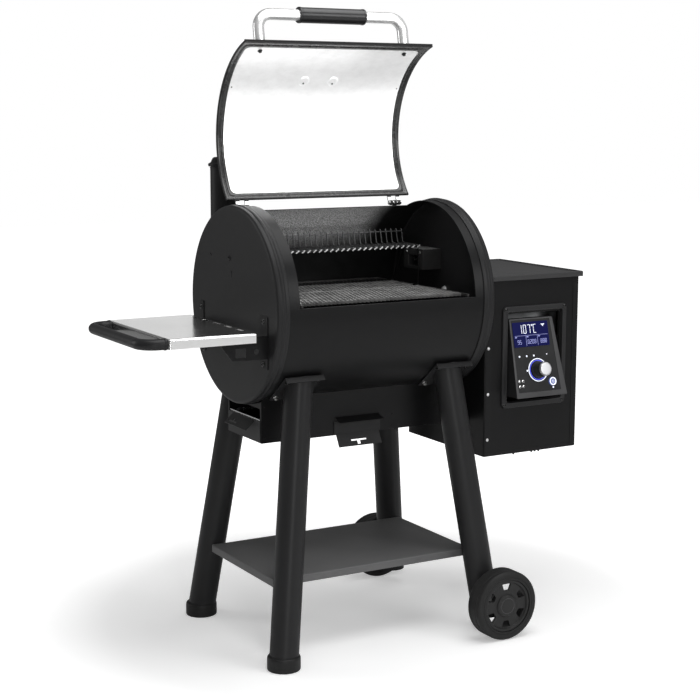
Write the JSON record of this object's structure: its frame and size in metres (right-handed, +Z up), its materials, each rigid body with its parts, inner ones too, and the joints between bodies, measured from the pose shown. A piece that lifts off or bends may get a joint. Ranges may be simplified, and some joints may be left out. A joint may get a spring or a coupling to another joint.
{
  "type": "pellet smoker grill",
  "caption": "Barrel pellet smoker with a swing-up lid, side pellet hopper and controller, side table, pull-out trays, storage shelf and transport wheels.",
  "frame": {"origin": "on the floor, under the centre of the bounding box at rest (lid up)", "axes": "+Z up; +X along the barrel towards the hopper; -Y is the front, where the cook stands"},
  "size_m": [1.305, 0.7032, 1.6463],
  "materials": {
    "black_powder": "satin black powder coat",
    "cap_powder": "satin black powder coat, slightly lighter",
    "leg_powder": "semi-gloss black powder coat",
    "shelf_powder": "matt textured black powder coat",
    "enamel": "speckled high-heat enamel",
    "wire_black": "black coated wire",
    "cast_iron": "seasoned cast iron",
    "stainless": "brushed stainless steel",
    "polished_steel": "satin-polished steel tube",
    "chrome": "bright plated",
    "zinc": "zinc plated",
    "galvanised": "galvanised sheet",
    "foil": "bright pressed foil",
    "gasket": "woven black gasket",
    "grip_black": "fine-textured black grip",
    "foot_plastic": "moulded black plastic",
    "wheel_plastic": "moulded black plastic",
    "tyre": "black rubber",
    "panel_plastic": "fine-grained black plastic",
    "screen": "backlit blue display behind a clear lens",
    "circuit_board": "green circuit board",
    "knob_silver": "black body with a silver face",
    "button_white": "translucent lit button",
    "motor_black": "black gear motor"
  },
  "bodies": {
    "cooker": {"barrel_shell": "black_powder", "left_end_cap": "cap_powder", "right_end_cap": "cap_powder", "lid_hinge_leaf_fixed_left": "chrome", "lid_hinge_leaf_fixed_right": "chrome", "leg_front_left": "leg_powder", "leg_rear_left": "leg_powder", "leg_front_right": "leg_powder", "leg_rear_right": "leg_powder", "foot_front_left": "foot_plastic", "foot_rear_left": "foot_plastic", "axle_front": "zinc", "axle_rear": "zinc", "bottom_shelf": "shelf_powder", "under_box": "black_powder", "drip_tray": "enamel", "heat_deflector": "enamel", "fire_pot": "cast_iron", "igniter_rod": "zinc", "cooking_grate": "cast_iron", "warming_rack": "wire_black", "temp_probe": "zinc", "probe_guard": "enamel", "chimney_elbow": "black_powder", "chimney_pipe": "black_powder", "hopper_shell": "black_powder", "hopper_hinge_pin": "zinc", "hopper_funnel": "galvanised", "auger_tube": "galvanised", "auger_motor": "motor_black", "fan_housing": "foot_plastic", "control_bezel": "panel_plastic", "control_fascia": "panel_plastic", "display_lens": "screen", "control_board": "circuit_board", "side_table_top": "stainless", "side_table_grip": "grip_black", "table_bracket_front": "black_powder", "table_bracket_rear": "black_powder"},
    "lid": {"lid_shell": "black_powder", "lid_liner": "stainless", "lid_gasket": "gasket", "lid_handle_tube": "polished_steel", "lid_handle_grip": "grip_black", "lid_hinge_leaf_moving_left": "chrome", "lid_hinge_leaf_moving_right": "chrome"},
    "hopper_lid": {"hopper_lid": "shelf_powder"},
    "wheel_front": {"wheel_hub_front": "wheel_plastic", "wheel_tyre_front": "tyre"},
    "wheel_rear": {"wheel_hub_rear": "wheel_plastic", "wheel_tyre_rear": "tyre"},
    "knob_shaft": {"knob_shaft": "zinc"},
    "control_knob": {"control_knob": "knob_silver"},
    "power_button": {"power_button": "button_white"},
    "ash_drawer": {"ash_drawer": "black_powder"},
    "grease_drawer": {"grease_drawer": "cap_powder", "grease_tray_liner": "foil"},
    "auger_screw": {"auger_screw": "zinc"},
    "fan_impeller": {"fan_impeller": "foot_plastic"},
    "chimney_cap": {"chimney_cap": "black_powder"}
  },
  "joints": [
    {"name": "lid_hinge", "type": "hinge", "parent": "cooker", "child": "lid", "pos_m": [0.0035, 0.1131, 1.1305], "axis": [1, 0, 0], "range_deg": [0, 108]},
    {"name": "hopper_lid_hinge", "type": "hinge", "parent": "cooker", "child": "hopper_lid", "pos_m": [0.485, 0.196, 0.938], "axis": [-1, 0, 0], "range_deg": [0, 95]},
    {"name": "wheel_front_spin", "type": "hinge", "parent": "cooker", "child": "wheel_front", "pos_m": [0.3092, -0.3236, 0.093], "axis": [0, 1, 0], "continuous": true},
    {"name": "wheel_rear_spin", "type": "hinge", "parent": "cooker", "child": "wheel_rear", "pos_m": [0.3092, 0.3236, 0.093], "axis": [0, 1, 0], "continuous": true},
    {"name": "knob_turn", "type": "hinge", "parent": "cooker", "child": "knob_shaft", "pos_m": [0.4805, -0.23254, 0.6929], "axis": [0, -0.9726, 0.2327], "continuous": true},
    {"name": "knob_push", "type": "slide", "parent": "knob_shaft", "child": "control_knob", "axis": [0, 0.9726, -0.2327], "range_m": [0, 0.0015], "stiffness_N_per_m": 600},
    {"name": "power_button_push", "type": "slide", "parent": "cooker", "child": "power_button", "axis": [0, 0.9726, -0.2327], "range_m": [0, 0.0015], "stiffness_N_per_m": 500},
    {"name": "ash_drawer_slide", "type": "slide", "parent": "cooker", "child": "ash_drawer", "axis": [0, -1, 0], "range_m": [0, 0.125]},
    {"name": "grease_drawer_slide", "type": "slide", "parent": "cooker", "child": "grease_drawer", "axis": [-1, 0, 0], "range_m": [0, 0.15]},
    {"name": "auger_turn", "type": "hinge", "parent": "cooker", "child": "auger_screw", "pos_m": [0.2625, 0, 0.611], "axis": [1, 0, 0], "continuous": true},
    {"name": "fan_spin", "type": "hinge", "parent": "cooker", "child": "fan_impeller", "pos_m": [0.3565, 0.084, 0.545], "axis": [1, 0, 0], "continuous": true},
    {"name": "chimney_cap_lift", "type": "slide", "parent": "cooker", "child": "chimney_cap", "axis": [0, 0, 1], "range_m": [0, 0.025]}
  ]
}
